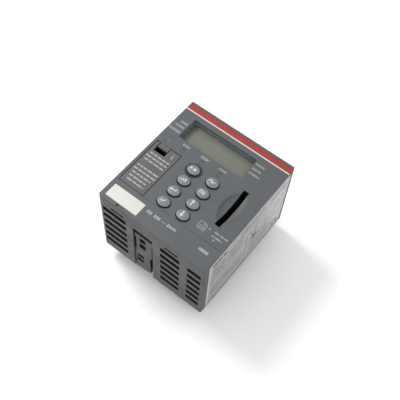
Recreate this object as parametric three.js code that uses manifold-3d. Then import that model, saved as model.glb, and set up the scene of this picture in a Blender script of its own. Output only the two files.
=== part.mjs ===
// Processor module of a programmable controller, in millimetres.
// The module lies on its back: +Z points out of its front face, +Y towards the red band at its
// top edge, +X to the right as seen from the front. The origin is under the middle of the module,
// on the plane of the rear plugs' ends.

import * as THREE from 'three';
import { mergeVertices } from 'three/addons/utils/BufferGeometryUtils.js';
import Module from 'manifold-3d';

const wasm = await Module();
wasm.setup();

// ---------------------------------------------------------------- driving dimensions

const WIDTH = 67.5;
const HEIGHT = 76;
const CASE_DEPTH = 53; // rear rim of the side walls to the front face
const PLUG_REACH = 9; // rear plugs, beyond the rear rim
const WALL = 1.5;
const CORNER_RADIUS = 0.8;
const COVER_THICKNESS = 1.6;
const COVER_EDGE = 0.3; // rounding of the cover's front edge
const GAP = 0.3; // between fixed pieces
const CONTACT_GAP = 0.1; // between pieces that rest on each other
const THIN_GAP = 0.05; // round the printed films
const THROUGH = 1; // how far a cutter runs past what it cuts
const FACETS = { fine: 40, round: 24, rod: 20, hole: 16, pin: 12 }; // facets round a full turn

const SKIRT = { wall: 1.2, depth: 5, corner: 0.5 };
const INNER_CORNER = 0.5; // least rounding inside the housing's corners

const VENT = { firstDepth: 10, pitch: 6.5, slot: 3.8, endDepth: 2.5 };
const VENT_GROUP = { left: { inset: 1.6, width: 15.55 }, middle: { inset: 39.75, width: 12.4 } };
const RIGHT_VENT = { inset: 2.15, width: 8.35 }; // inset from the right edge
const NARROW_VENT = { depth: 6.3, slot: 1.6, width: 8.4, left: 7.55, middle: 42.45 };

const BAND = { fromTop: 1.6, height: 3.5, film: 0.25 };
const PINSTRIPE = { height: 0.75 };

const SCREEN = { fromLeft: 9, fromTop: 9.2, width: 40.6, height: 14, depth: 4.4, wall: 1 };

const KEY = { width: 7.1, height: 6.1, rise: 1.4, edge: 0.85, travel: 0.8 };
const KEY_LIP = { reach: 0.8, thickness: 0.9 };
const KEY_STEM = { inset: 1.4, length: 2.2 }; // the stem stands this far inside the cap's outline
const MAT_SHEET = 1.2;
const KEY_GRID = { left: -5.45, columnPitch: 12.15, topFromTop: 35.3, rowPitch: 8 };
const KEY_CLEARANCE = 0.4;
const KEY_RING = { margin: 1.25, line: 0.55, rise: 0.1, groove: 0.45 };
const KEY_NAMES = [
  ['run', 'diagnosis'],
  ['value', 'configure'],
  ['escape', 'up'],
  ['confirm', 'down'],
];

const LAMP = { fromTop: 29.1, width: 1.5, height: 2.8 };
const LAMPS = { power: -17.5, run: -5.5, error: 6.2 };

const DOOR = { fromLeft: 2.15, topFromTop: 32.5, width: 15.6, height: 30.6, gap: 0.4, hingeGap: 0.15 };
const HINGE = { barrel: 0.8, pin: 0.4, bore: 0.5, bite: 0.9 };
const CATCH = { fromDoorLeft: 2.2, width: 6.4, overlap: 2.7, lip: 1.4, thickness: 1.9, tail: 5.2, bend: 1.1 };
const CATCH_PULL = 3; // finger gap beyond the catch's tip
const CREASE = { width: 0.3, depth: 0.15 }; // across the cover, in line with the door's hinged edge
const THUMB_DIMPLE = { fromDoorLeft: 3.7, above: 2.9, radius: 2.3, depth: 0.35 };

const MARKER = { fromLeft: 2.65, fromBottom: 1.8, width: 20.1, height: 8.1, corner: 0.3 };
const MARKER_POCKET = { depth: 0.9, rise: 0.1 }; // the plate stands this much proud of the cover
const PRY_NOTCH = { fromLeft: 11.15, width: 4.4 };

const CARD = { fromRight: 10.65, fromTop: 40.55, width: 3.1, length: 25, socketDepth: 27, socketWall: 1.3 };
const SCOOP = { halfWidth: 6.1, halfLength: 10.4, depth: 1.9, steepness: 3.4 };
const COVER_BOSS = { depth: 3.5, margin: 1.2, endMargin: 2.4 }; // round the card slot, behind the cover

const TYPE_PLATE = { fromRear: 1, fromFront: 3.3, fromTop: 2.4, fromBottom: 4.1, pocket: 0.45, film: 0.3 };

const LATCH_WINDOW = { fromLeft: 21.85, width: 12.8, length: 42.4 };
const LATCH = { inset: 0.8, thickness: 2.2, gap: 0.15, length: 37.4, padLength: 4 };
const LATCH_TIP = { left: -1.6, right: 1.2 }; // the slanted rear end, from the case's rear rim
const LATCH_POCKET_DEPTH = 1.7;
const LATCH_SIDE_SLIT = { left: 1.2, right: 1.2, rearRight: 2.4, end: 21 };
const LATCH_PIVOT = { fromRear: 16, depth: 3.3, pin: 0.8, bore: 0.95, ear: 1.8, earWidth: 1.4 };
const LATCH_POCKETS = [
  { left: 3.6, width: 3.8, low: 30.6, height: 4 },
  { left: 3.4, width: 4.2, low: 24, height: 4.6 },
  { left: 1.8, width: 4.1, low: 12.2, height: 2.8 },
  { left: 1.3, width: 4.4, low: 7.2, height: 3.2 },
];
const LATCH_HOOK = { reach: 1.2, height: 4.4 };

const BOARD = { thickness: 1.6, edgeGap: 3.4, sideGap: 1.2 };
const BOARD_LEVEL = { power: 14, displayFromFront: 12.1 };
const SOLDER_GAP = 0.2; // under each component
const HEADER = { length: 24, width: 5, fromEdge: 5 };
const COMPONENTS = {
  processor: { x: -8, y: 10, width: 17, length: 17, height: 2.4 },
  memoryChip: { x: 6, y: -14, width: 8, length: 12, height: 1.4 },
  transformer: { x: -10, y: 12, width: 16, length: 14, height: 11 },
  inductor: { x: 8, y: 8, radius: 5, height: 6 },
  inputCapacitor: { x: 8, y: -12, radius: 4, height: 11.5 },
  outputCapacitor: { x: -4, y: -12, radius: 4, height: 11.5 },
};
const REAR_COVER = { thickness: 1.6 };
const SPACER = { radius: 2.6, insetX: 15, insetY: 7.5 };
const SCREW = { radius: 0.75, bore: 0.85, head: 1.5, headHeight: 1.1, bite: 2.2, slot: 0.4 };
const PLUG = { sideInset: 7, width: 8, length: 44, rim: 1.2, groovePitch: 4, groove: 1.2, grooveDepth: 3 };
const MIDDLE_PLUG = { width: 18, length: 9, fromBottom: 11 };

const BATTERY = { diameter: 14.2, length: 23, pole: 2.5, poleHeight: 1, rim: 0.6 };
const TRAY = { wall: 0.9, floor: 1, headroom: 0.4 };
const BATTERY_CONTACT = { width: 8, thickness: 0.5, fromTop: 4 };

// ---------------------------------------------------------------- places that follow from them

const right = WIDTH / 2;
const left = -right;
const top = HEIGHT / 2;
const bottom = -top;
const rear = PLUG_REACH;
const front = rear + CASE_DEPTH;
const coverBack = front - COVER_THICKNESS;
const inner = { left: left + WALL, right: right - WALL, bottom: bottom + WALL, top: top - WALL };

const screen = {
  left: left + SCREEN.fromLeft,
  right: left + SCREEN.fromLeft + SCREEN.width,
  top: top - SCREEN.fromTop,
  bottom: top - SCREEN.fromTop - SCREEN.height,
  glass: front - SCREEN.depth,
};

const door = {
  left: left + DOOR.fromLeft,
  right: left + DOOR.fromLeft + DOOR.width,
  top: top - DOOR.topFromTop,
  bottom: top - DOOR.topFromTop - DOOR.height,
};
const hinge = { y: door.bottom + HINGE.barrel, z: front - HINGE.barrel };

const catchTongue = {
  left: door.left + CATCH.fromDoorLeft,
  right: door.left + CATCH.fromDoorLeft + CATCH.width,
  top: door.top + DOOR.gap - CONTACT_GAP,
  tip: door.top - CATCH.overlap,
  tail: door.top + CATCH.tail,
};

const card = { x: right - CARD.fromRight, y: top - CARD.fromTop };
const cardSocket = {
  halfWidth: CARD.width / 2 + CARD.socketWall,
  halfLength: CARD.length / 2 + CARD.socketWall,
  top: front - COVER_BOSS.depth - GAP,
};

const displayBoardTop = front - BOARD_LEVEL.displayFromFront + BOARD.thickness;
// The processor board carries the card socket, so it follows the socket's foot.
const processorBoardTop = cardSocket.top - CARD.socketDepth - SOLDER_GAP;
const processorBoardBack = processorBoardTop - BOARD.thickness;
const powerBoardTop = BOARD_LEVEL.power + BOARD.thickness;

const tray = {
  left: inner.left + GAP,
  right: door.right + DOOR.gap + GAP,
  top: door.top + DOOR.gap + GAP,
  bottom: door.bottom - DOOR.gap - GAP,
  rim: coverBack - GAP,
};
tray.base = tray.rim - BATTERY.diameter - TRAY.floor - TRAY.headroom;

const latchWindow = { left: left + LATCH_WINDOW.fromLeft };
latchWindow.right = latchWindow.left + LATCH_WINDOW.width;
const latchPivot = { y: bottom + LATCH_PIVOT.depth, z: rear + LATCH_PIVOT.fromRear };

// ---------------------------------------------------------------- solids

function solidOf(geometry) {
  const bare = geometry.clone();
  bare.deleteAttribute('normal');
  bare.deleteAttribute('uv');
  const merged = mergeVertices(bare, 1e-4);
  return new wasm.Manifold(new wasm.Mesh({
    numProp: 3,
    vertProperties: merged.attributes.position.array,
    triVerts: merged.index.array,
  }));
}

function geometryOf(solid) {
  const mesh = solid.getMesh();
  const geometry = new THREE.BufferGeometry();
  geometry.setAttribute('position', new THREE.BufferAttribute(mesh.vertProperties, 3));
  geometry.setIndex(new THREE.BufferAttribute(mesh.triVerts, 1));
  geometry.computeVertexNormals();
  return geometry;
}

function block(x0, x1, y0, y1, z0, z1) {
  const geometry = new THREE.BoxGeometry(x1 - x0, y1 - y0, z1 - z0);
  geometry.translate((x0 + x1) / 2, (y0 + y1) / 2, (z0 + z1) / 2);
  return solidOf(geometry);
}

// A block given by its middle in X and Y.
function centredBlock(x, y, width, height, z0, z1) {
  return block(x - width / 2, x + width / 2, y - height / 2, y + height / 2, z0, z1);
}

function roundedRectangle(x0, x1, y0, y1, radius) {
  const shape = new THREE.Shape();
  shape.moveTo(x0 + radius, y0);
  shape.absarc(x1 - radius, y0 + radius, radius, -Math.PI / 2, 0);
  shape.absarc(x1 - radius, y1 - radius, radius, 0, Math.PI / 2);
  shape.absarc(x0 + radius, y1 - radius, radius, Math.PI / 2, Math.PI);
  shape.absarc(x0 + radius, y0 + radius, radius, Math.PI, Math.PI * 1.5);
  return shape;
}

function slab(shape, z0, z1, curveSegments = 5) {
  const geometry = new THREE.ExtrudeGeometry(shape, { depth: z1 - z0, bevelEnabled: false, curveSegments });
  geometry.translate(0, 0, z0);
  return solidOf(geometry);
}

// A turned piece: its profile is a list of [radius, height] pairs, and its axis is upright.
function turned(profile, segments) {
  const points = profile.map(([radius, height]) => new THREE.Vector2(radius, height));
  const geometry = new THREE.LatheGeometry(points, segments);
  geometry.rotateX(Math.PI / 2);
  return geometry;
}

// A cutter for a round dish: the cap of a ball whose rim lies on height 0.
function dishGeometry(radius, depth, segments, rings) {
  const ballRadius = (radius ** 2 + depth ** 2) / (2 * depth);
  const rimAngle = Math.asin(radius / ballRadius);
  const profile = [];
  for (let ring = 0; ring <= rings; ring += 1) {
    const angle = (rimAngle * ring) / rings;
    profile.push([ballRadius * Math.sin(angle), ballRadius * (1 - Math.cos(angle)) - depth]);
  }
  profile.push([radius, THROUGH], [0, THROUGH]);
  return turned(profile, segments);
}

// An upright elliptical disc.
function oval(x, y, width, height, z0, z1) {
  const geometry = new THREE.CylinderGeometry(0.5, 0.5, z1 - z0, FACETS.round);
  geometry.rotateX(Math.PI / 2);
  geometry.scale(width, height, 1);
  geometry.translate(x, y, (z0 + z1) / 2);
  return solidOf(geometry);
}

// A round rod along X.
function crossRod(x0, x1, y, z, radius, segments = FACETS.rod) {
  const geometry = new THREE.CylinderGeometry(radius, radius, x1 - x0, segments);
  geometry.rotateZ(Math.PI / 2);
  geometry.translate((x0 + x1) / 2, y, z);
  return solidOf(geometry);
}

// An upright round rod.
function centredRod(x, y, radius, z0, z1, segments = FACETS.rod) {
  const geometry = new THREE.CylinderGeometry(radius, radius, z1 - z0, segments);
  geometry.rotateX(Math.PI / 2);
  geometry.translate(x, y, (z0 + z1) / 2);
  return solidOf(geometry);
}

function mirrorToTop(solid) {
  return solid.mirror([0, 1, 0]);
}

// ---------------------------------------------------------------- materials

const MATERIALS = {
  casing: { color: 0x63656a, roughness: 0.55, metalness: 0 },
  door: { color: 0x686a6a, roughness: 0.55, metalness: 0 },
  key: { color: 0x7b8388, roughness: 0.45, metalness: 0 },
  band: { color: 0xb8342c, roughness: 0.4, metalness: 0 },
  white: { color: 0xeeeee8, roughness: 0.5, metalness: 0 },
  plate: { color: 0xa8a8a8, roughness: 0.35, metalness: 0.2 },
  black: { color: 0x141516, roughness: 0.5, metalness: 0 },
  screen: { color: 0x7c7f75, roughness: 0.2, metalness: 0 },
  lamp: { color: 0x4d5255, roughness: 0.3, metalness: 0 },
  rubber: { color: 0x3b3d3f, roughness: 0.8, metalness: 0 },
  board: { color: 0x1f5a3a, roughness: 0.5, metalness: 0 },
  chip: { color: 0x1a1a1c, roughness: 0.5, metalness: 0 },
  copper: { color: 0xa5643a, roughness: 0.4, metalness: 0.9 },
  steel: { color: 0xa9abad, roughness: 0.35, metalness: 1 },
  can: { color: 0x2a2f52, roughness: 0.4, metalness: 0.3 },
};

const materials = {};
for (const [name, values] of Object.entries(MATERIALS)) {
  materials[name] = new THREE.MeshStandardMaterial(values);
}

const module = new THREE.Group();

function addPart(name, material, solid) {
  const mesh = new THREE.Mesh(geometryOf(solid), materials[material]);
  mesh.name = name;
  module.add(mesh);
}

// ---------------------------------------------------------------- housing

function ventCutters() {
  const groups = [
    { from: left + VENT_GROUP.left.inset, width: VENT_GROUP.left.width },
    { from: left + VENT_GROUP.middle.inset, width: VENT_GROUP.middle.width },
    { from: right - RIGHT_VENT.inset - RIGHT_VENT.width, width: RIGHT_VENT.width },
  ];
  const rows = Math.floor((CASE_DEPTH - VENT.firstDepth - VENT.endDepth) / VENT.pitch);
  const cutters = [];
  for (const group of groups) {
    for (let row = 0; row < rows; row += 1) {
      const high = front - VENT.firstDepth - row * VENT.pitch;
      const end = group.from + group.width;
      cutters.push(block(group.from, end, bottom - THROUGH, top + THROUGH, high - VENT.slot, high));
    }
  }
  for (const inset of [NARROW_VENT.left, NARROW_VENT.middle]) {
    const from = left + inset;
    const high = front - NARROW_VENT.depth;
    const low = high - NARROW_VENT.slot;
    cutters.push(block(from, from + NARROW_VENT.width, bottom - THROUGH, top + THROUGH, low, high));
  }
  return cutters;
}

// The two bored ears beside the bottom latch that hold its pin.
function latchEars() {
  const { ear, earWidth, bore } = LATCH_PIVOT;
  const ears = [latchWindow.left - GAP - earWidth, latchWindow.right + GAP].map((from) => block(
    from, from + earWidth, bottom + WALL / 2, latchPivot.y + ear, latchPivot.z - ear, latchPivot.z + ear,
  ));
  const hole = crossRod(left, right, latchPivot.y, latchPivot.z, bore - CONTACT_GAP);
  return wasm.Manifold.union(ears).subtract(hole);
}

function housingBody() {
  const outline = roundedRectangle(left, right, bottom, top, CORNER_RADIUS);
  const innerRadius = Math.max(CORNER_RADIUS - WALL, INNER_CORNER);
  const hollow = roundedRectangle(inner.left, inner.right, inner.bottom, inner.top, innerRadius);
  let body = slab(outline, rear, coverBack - GAP);
  body = body.subtract(slab(hollow, rear - THROUGH, front));
  body = body.subtract(wasm.Manifold.union(ventCutters()));
  body = body.subtract(block(
    latchWindow.left, latchWindow.right, bottom - THROUGH, top + THROUGH,
    rear - THROUGH, rear + LATCH_WINDOW.length,
  ));
  body = body.subtract(block(
    right - TYPE_PLATE.pocket, right + THROUGH,
    bottom + TYPE_PLATE.fromBottom - CONTACT_GAP, top - TYPE_PLATE.fromTop + CONTACT_GAP,
    rear + TYPE_PLATE.fromRear - CONTACT_GAP, front - TYPE_PLATE.fromFront + CONTACT_GAP,
  ));
  return body.add(latchEars()).add(mirrorToTop(latchEars()));
}

function typePlate() {
  const back = right - TYPE_PLATE.pocket + CONTACT_GAP;
  return block(
    back, back + TYPE_PLATE.film,
    bottom + TYPE_PLATE.fromBottom, top - TYPE_PLATE.fromTop,
    rear + TYPE_PLATE.fromRear, front - TYPE_PLATE.fromFront,
  );
}

// ---------------------------------------------------------------- front cover

const bandTop = top - BAND.fromTop;
const bandBottom = bandTop - BAND.height;
const stripeTop = bandBottom - THIN_GAP;
const stripeBottom = stripeTop - PINSTRIPE.height;
const filmTop = front - THIN_GAP;

// The cover's outer form, rounded along its front edge.
function coverForm() {
  const shape = roundedRectangle(left, right, bottom, top, CORNER_RADIUS);
  const geometry = new THREE.ExtrudeGeometry(shape, {
    depth: COVER_THICKNESS,
    bevelThickness: COVER_EDGE,
    bevelSize: COVER_EDGE,
    bevelOffset: -COVER_EDGE,
    bevelSegments: 3,
    curveSegments: 6,
  });
  geometry.translate(0, 0, coverBack - COVER_EDGE);
  const belowBack = block(
    left - THROUGH, right + THROUGH, bottom - THROUGH, top + THROUGH, coverBack - THROUGH, coverBack,
  );
  return solidOf(geometry).subtract(belowBack);
}

function skirt() {
  const outer = roundedRectangle(
    inner.left + GAP, inner.right - GAP, inner.bottom + GAP, inner.top - GAP, SKIRT.corner,
  );
  const inset = GAP + SKIRT.wall;
  const low = coverBack - SKIRT.depth;
  const ring = slab(outer, low, coverBack).subtract(block(
    inner.left + inset, inner.right - inset, inner.bottom + inset, inner.top - inset,
    low - THROUGH, coverBack + THROUGH,
  ));
  // The skirt stops where the battery tray reaches the left wall.
  return ring.subtract(block(
    left, tray.right, tray.bottom - GAP, tray.top + GAP, low - THROUGH, coverBack,
  ));
}

function keyPlaces() {
  const places = [];
  KEY_NAMES.forEach((row, rowIndex) => {
    row.forEach((name, column) => {
      places.push({
        name,
        x: KEY_GRID.left + column * KEY_GRID.columnPitch,
        y: top - KEY_GRID.topFromTop - rowIndex * KEY_GRID.rowPitch,
      });
    });
  });
  return places;
}

function keyHoles() {
  const clearance = 2 * KEY_CLEARANCE;
  return keyPlaces().map(({ x, y }) => oval(
    x, y, KEY.width + clearance, KEY.height + clearance, coverBack - THROUGH, front + THROUGH,
  ));
}

// The ring printed round the run key, made wider on both sides by the grown margin.
function keyRing(grown, low, high) {
  const [{ x, y }] = keyPlaces();
  const outside = 2 * (KEY_RING.margin + grown);
  const inside = outside - 2 * (KEY_RING.line + 2 * grown);
  const outer = oval(x, y, KEY.width + outside, KEY.height + outside, low, high);
  const hole = oval(x, y, KEY.width + inside, KEY.height + inside, low - THROUGH, high + THROUGH);
  return outer.subtract(hole);
}

// The oval finger scoop across the card slot: steep at its rim and nearly flat in the middle.
function scoopCutter() {
  const { halfWidth, halfLength, depth, steepness } = SCOOP;
  const rings = 6;
  const profile = [];
  for (let ring = 0; ring <= rings; ring += 1) {
    const reach = Math.sin((ring / rings) * (Math.PI / 2));
    profile.push([halfWidth * reach, depth * (reach ** steepness - 1)]);
  }
  profile.push([halfWidth, THROUGH], [0, THROUGH]);
  const geometry = turned(profile, FACETS.fine);
  geometry.scale(1, halfLength / halfWidth, 1);
  geometry.translate(card.x, card.y, front);
  return solidOf(geometry);
}

function doorOpening() {
  return block(
    door.left - DOOR.gap, door.right + DOOR.gap, door.bottom - DOOR.hingeGap, door.top + DOOR.gap,
    coverBack - THROUGH, front + THROUGH,
  );
}

function markerPocket() {
  const x0 = left + MARKER.fromLeft;
  const y0 = bottom + MARKER.fromBottom;
  const low = front - MARKER_POCKET.depth;
  const pocket = block(x0, x0 + MARKER.width, y0, y0 + MARKER.height, low, front + THROUGH);
  const notchLeft = left + PRY_NOTCH.fromLeft;
  const notch = block(
    notchLeft, notchLeft + PRY_NOTCH.width, bottom - THROUGH, y0 + THROUGH, low, front + THROUGH,
  );
  return pocket.add(notch);
}

function crease() {
  const high = door.bottom - DOOR.hingeGap;
  return block(
    door.right + DOOR.gap - THIN_GAP, right + THROUGH, high - CREASE.width, high,
    front - CREASE.depth, front + THROUGH,
  );
}

function thumbDimple() {
  const geometry = dishGeometry(THUMB_DIMPLE.radius, THUMB_DIMPLE.depth, FACETS.round, 3);
  geometry.translate(door.left + THUMB_DIMPLE.fromDoorLeft, door.top + THUMB_DIMPLE.above, front);
  return solidOf(geometry);
}

// The shallow channel that the two printed films lie in.
function filmChannel() {
  const floor = filmTop - BAND.film - THIN_GAP;
  return block(
    left - THROUGH, right + THROUGH, stripeBottom - THIN_GAP, bandTop + THIN_GAP, floor, front + THROUGH,
  );
}

function frontCover() {
  const { wall } = SCREEN;
  const cardBoss = centredBlock(
    card.x, card.y,
    2 * (SCOOP.halfWidth + COVER_BOSS.margin), CARD.length + 2 * COVER_BOSS.endMargin,
    front - COVER_BOSS.depth, coverBack + COVER_THICKNESS / 2,
  );
  const screenWall = block(
    screen.left - wall, screen.right + wall, screen.bottom - wall, screen.top + wall,
    screen.glass + GAP, coverBack + COVER_THICKNESS / 2,
  );
  const cutters = [
    ...keyHoles(),
    keyRing(THIN_GAP, front - KEY_RING.groove - CONTACT_GAP, front + THROUGH),
    block(screen.left, screen.right, screen.bottom, screen.top, screen.glass - THROUGH, front + THROUGH),
    doorOpening(),
    markerPocket(),
    thumbDimple(),
    crease(),
    scoopCutter(),
    centredBlock(
      card.x, card.y, CARD.width, CARD.length, front - COVER_BOSS.depth - THROUGH, front + THROUGH,
    ),
    filmChannel(),
    crossRod(hingeEnds()[0], hingeEnds()[1], hinge.y, hinge.z, HINGE.bore, FACETS.hole),
  ];
  for (const x of Object.values(LAMPS)) {
    const y = top - LAMP.fromTop;
    cutters.push(centredBlock(
      x, y, LAMP.width + 2 * CONTACT_GAP, LAMP.height + 2 * CONTACT_GAP,
      coverBack - THROUGH, front + THROUGH,
    ));
  }
  return coverForm().add(skirt()).add(cardBoss).add(screenWall).subtract(wasm.Manifold.union(cutters));
}

// The films follow the cover's rounded front edge.
function film(y0, y1) {
  return coverForm().intersect(block(left - THROUGH, right + THROUGH, y0, y1, filmTop - BAND.film, filmTop));
}

function markerPlate() {
  const x0 = left + MARKER.fromLeft + CONTACT_GAP;
  const y0 = bottom + MARKER.fromBottom + CONTACT_GAP;
  return slab(
    roundedRectangle(
      x0, x0 + MARKER.width - 2 * CONTACT_GAP, y0, y0 + MARKER.height - 2 * CONTACT_GAP, MARKER.corner,
    ),
    front - MARKER_POCKET.depth + CONTACT_GAP, front + MARKER_POCKET.rise,
  );
}

// ---------------------------------------------------------------- display and keys

const screenBack = displayBoardTop + CONTACT_GAP;

function displayPanel() {
  const edge = SCREEN.wall / 2;
  return block(
    screen.left - edge, screen.right + edge, screen.bottom - edge, screen.top + edge,
    screenBack, screen.glass,
  );
}

// The pressed frame round the panel, below the cover's screen wall.
function displayFrame() {
  const inside = SCREEN.wall / 2 + CONTACT_GAP;
  const outside = inside + SCREEN.wall;
  return block(
    screen.left - outside, screen.right + outside, screen.bottom - outside, screen.top + outside,
    screenBack, screen.glass,
  ).subtract(block(
    screen.left - inside, screen.right + inside, screen.bottom - inside, screen.top + inside,
    screenBack - THROUGH, screen.glass + THROUGH,
  ));
}

const keyFoot = coverBack - KEY_LIP.thickness - KEY_STEM.length;
const matTop = keyFoot - KEY.travel - GAP;

// A key: domed oval cap, a lip that holds it behind the cover, and a stem below.
function keyCap(x, y) {
  const radius = KEY.width / 2;
  const stem = radius - KEY_STEM.inset;
  const edge = front + KEY.edge;
  const lipTop = coverBack - CONTACT_GAP;
  const lipLow = lipTop - KEY_LIP.thickness;
  const profile = [
    [0, keyFoot],
    [stem, keyFoot],
    [stem, lipLow],
    [radius + KEY_LIP.reach, lipLow],
    [radius + KEY_LIP.reach, lipTop],
    [radius, lipTop],
  ];
  const domeSteps = 3;
  for (let step = 0; step < domeSteps; step += 1) {
    const angle = (step / domeSteps) * (Math.PI / 2);
    profile.push([radius * Math.cos(angle), edge + (KEY.rise - KEY.edge) * Math.sin(angle)]);
  }
  profile.push([0, front + KEY.rise]);
  const geometry = turned(profile, FACETS.round);
  geometry.scale(1, KEY.height / KEY.width, 1);
  geometry.translate(x, y, 0);
  return solidOf(geometry);
}

function keyMat() {
  const places = keyPlaces();
  const sideEdge = KEY.width / 2 + KEY_LIP.reach;
  const endEdge = KEY.height / 2 + KEY_LIP.reach;
  const xs = places.map((place) => place.x);
  const ys = places.map((place) => place.y);
  const low = displayBoardTop + CONTACT_GAP;
  const sheet = block(
    Math.min(...xs) - sideEdge, Math.max(...xs) + sideEdge,
    Math.min(...ys) - endEdge, Math.max(...ys) + endEdge,
    low, low + MAT_SHEET,
  );
  const domes = places.map(({ x, y }) => oval(
    x, y, KEY.width - 2 * KEY_STEM.inset, KEY.height - 2 * KEY_STEM.inset, low, matTop,
  ));
  return wasm.Manifold.union([sheet, ...domes]);
}

function lightGuide(x) {
  const y = top - LAMP.fromTop;
  return centredBlock(x, y, LAMP.width, LAMP.height, displayBoardTop + GAP, front - THIN_GAP);
}

// ---------------------------------------------------------------- battery door, catch and tray

function catchRecess() {
  return block(
    catchTongue.left - DOOR.gap, catchTongue.right + DOOR.gap,
    catchTongue.tip - CATCH_PULL, door.top + THROUGH, coverBack - THROUGH, front + THROUGH,
  );
}

// The hinge pin runs past the door on both sides, into the cover.
function hingeEnds() {
  const reach = DOOR.gap + HINGE.bite;
  return [door.left - reach, door.right + reach];
}

function batteryDoor() {
  const plate = block(door.left, door.right, hinge.y, door.top, coverBack, front);
  const barrel = crossRod(door.left, door.right, hinge.y, hinge.z, HINGE.barrel, FACETS.round);
  const bore = crossRod(
    door.left - THROUGH, door.right + THROUGH, hinge.y, hinge.z, HINGE.bore, FACETS.hole,
  );
  return plate.add(barrel).subtract(catchRecess()).subtract(bore);
}

function hingePin() {
  const [start, end] = hingeEnds();
  return crossRod(start + CONTACT_GAP, end - CONTACT_GAP, hinge.y, hinge.z, HINGE.pin, FACETS.pin);
}

const catchLever = { low: coverBack - GAP - CATCH.thickness, high: coverBack - GAP };

// The catch: a thin lip over the door's edge, on a springy lever behind the cover.
function doorCatch() {
  const { left: x0, right: x1, top: y1, tip, tail } = catchTongue;
  const lip = block(x0, x1, tip, y1, front - CATCH.lip, front);
  const lever = block(x0, x1, door.top - CATCH.thickness, tail, catchLever.low, catchLever.high);
  const web = block(x0, x1, door.top - CATCH.thickness, y1, catchLever.low, front - CATCH.lip / 2);
  return wasm.Manifold.union([lip, lever, web]);
}

function batteryTray() {
  const { wall, floor } = TRAY;
  const body = block(tray.left, tray.right, tray.bottom, tray.top, tray.base, tray.rim);
  const hollow = block(
    tray.left + wall, tray.right - wall, tray.bottom + wall, tray.top - wall,
    tray.base + floor, tray.rim + THROUGH,
  );
  // The catch's lever passes over the tray's end wall.
  const leverPath = block(
    catchTongue.left - 2 * GAP, catchTongue.right + 2 * GAP, tray.top - 2 * wall, tray.top + THROUGH,
    catchLever.low - CATCH.bend, tray.rim + THROUGH,
  );
  return body.subtract(hollow).subtract(leverPath);
}

const battery = {
  x: (tray.left + tray.right) / 2,
  low: tray.bottom + TRAY.wall + BATTERY_CONTACT.thickness + GAP,
};
battery.high = battery.low + BATTERY.length;
battery.z = tray.base + TRAY.floor + CONTACT_GAP + BATTERY.diameter / 2;

function batteryCell() {
  const radius = BATTERY.diameter / 2;
  const { length, pole, poleHeight, rim } = BATTERY;
  const geometry = turned([
    [0, 0],
    [radius - rim, 0],
    [radius, rim],
    [radius, length - poleHeight - rim],
    [radius - rim, length - poleHeight],
    [pole, length - poleHeight],
    [pole, length],
    [0, length],
  ], FACETS.fine);
  geometry.rotateX(-Math.PI / 2);
  geometry.translate(battery.x, battery.low, battery.z);
  return solidOf(geometry);
}

function batteryContact(y) {
  const { width, thickness, fromTop } = BATTERY_CONTACT;
  const low = tray.base + TRAY.floor + CONTACT_GAP;
  return centredBlock(battery.x, y, width, thickness, low, low + BATTERY.diameter - fromTop);
}

// ---------------------------------------------------------------- latches

// What is cut off the latch's rear end, so that it slants from its left side to its right.
function latchTipCutter(low, high) {
  const slope = Math.atan2(LATCH_TIP.right - LATCH_TIP.left, LATCH_WINDOW.width);
  const middle = (latchWindow.left + latchWindow.right) / 2;
  const cutter = new THREE.BoxGeometry(2 * LATCH_WINDOW.width, high - low, LATCH_WINDOW.width);
  cutter.translate(0, (high + low) / 2, -LATCH_WINDOW.width / 2);
  cutter.rotateY(-slope);
  cutter.translate(middle, 0, rear + (LATCH_TIP.left + LATCH_TIP.right) / 2);
  return solidOf(cutter);
}

// The bottom latch: a lever whose front end is pressed in, on a pin near its rear hook.
function bottomLatch() {
  const { inset, thickness, gap, length, padLength } = LATCH;
  const { left: x0, right: x1 } = latchWindow;
  const outside = bottom + inset;
  const inside = outside + thickness;
  const low = rear + LATCH_TIP.left;
  const high = rear + length;
  const waist = rear + LATCH_SIDE_SLIT.end;
  const rearRight = x1 - LATCH_SIDE_SLIT.rearRight;
  const stem = block(
    x0 + LATCH_SIDE_SLIT.left, x1 - LATCH_SIDE_SLIT.right, outside, inside, waist - thickness, high,
  );
  const pad = block(x0 + gap, x1 - gap, outside, inside, high - padLength, high);
  const wideRear = block(x0 + gap, rearRight, outside, inside, low, waist);
  const hookX = [x0 + LATCH_SIDE_SLIT.left, rearRight];
  const hook = block(...hookX, outside, inside + LATCH_HOOK.reach, low, low + LATCH_HOOK.height);
  const { ear, bore } = LATCH_PIVOT;
  const lug = block(
    hookX[0], hookX[1], outside + thickness / 2, latchPivot.y + ear, latchPivot.z - ear, latchPivot.z + ear,
  );
  const pockets = LATCH_POCKETS.map((pocket) => block(
    x0 + pocket.left, x0 + pocket.left + pocket.width, outside - THROUGH, outside + LATCH_POCKET_DEPTH,
    rear + pocket.low, rear + pocket.low + pocket.height,
  ));
  const hole = crossRod(x0, x1, latchPivot.y, latchPivot.z, bore);
  const tip = latchTipCutter(outside - THROUGH, inside + LATCH_HOOK.reach + THROUGH);
  return wasm.Manifold.union([stem, pad, wideRear, hook, lug])
    .subtract(wasm.Manifold.union([...pockets, hole, tip]));
}

function latchPin() {
  const reach = GAP + LATCH_PIVOT.earWidth;
  return crossRod(
    latchWindow.left - reach, latchWindow.right + reach, latchPivot.y, latchPivot.z,
    LATCH_PIVOT.pin - CONTACT_GAP,
  );
}

// ---------------------------------------------------------------- boards and what is on them

const boardEdge = {
  left: inner.left + BOARD.sideGap,
  right: inner.right - BOARD.sideGap,
  bottom: inner.bottom + BOARD.edgeGap,
  top: inner.top - BOARD.edgeGap,
};

const spacerPlaces = [-1, 1].flatMap((sideX) => [-1, 1].map((sideY) => ({
  x: sideX * (inner.right - SPACER.insetX),
  y: sideY * (inner.top - SPACER.insetY),
})));

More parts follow.
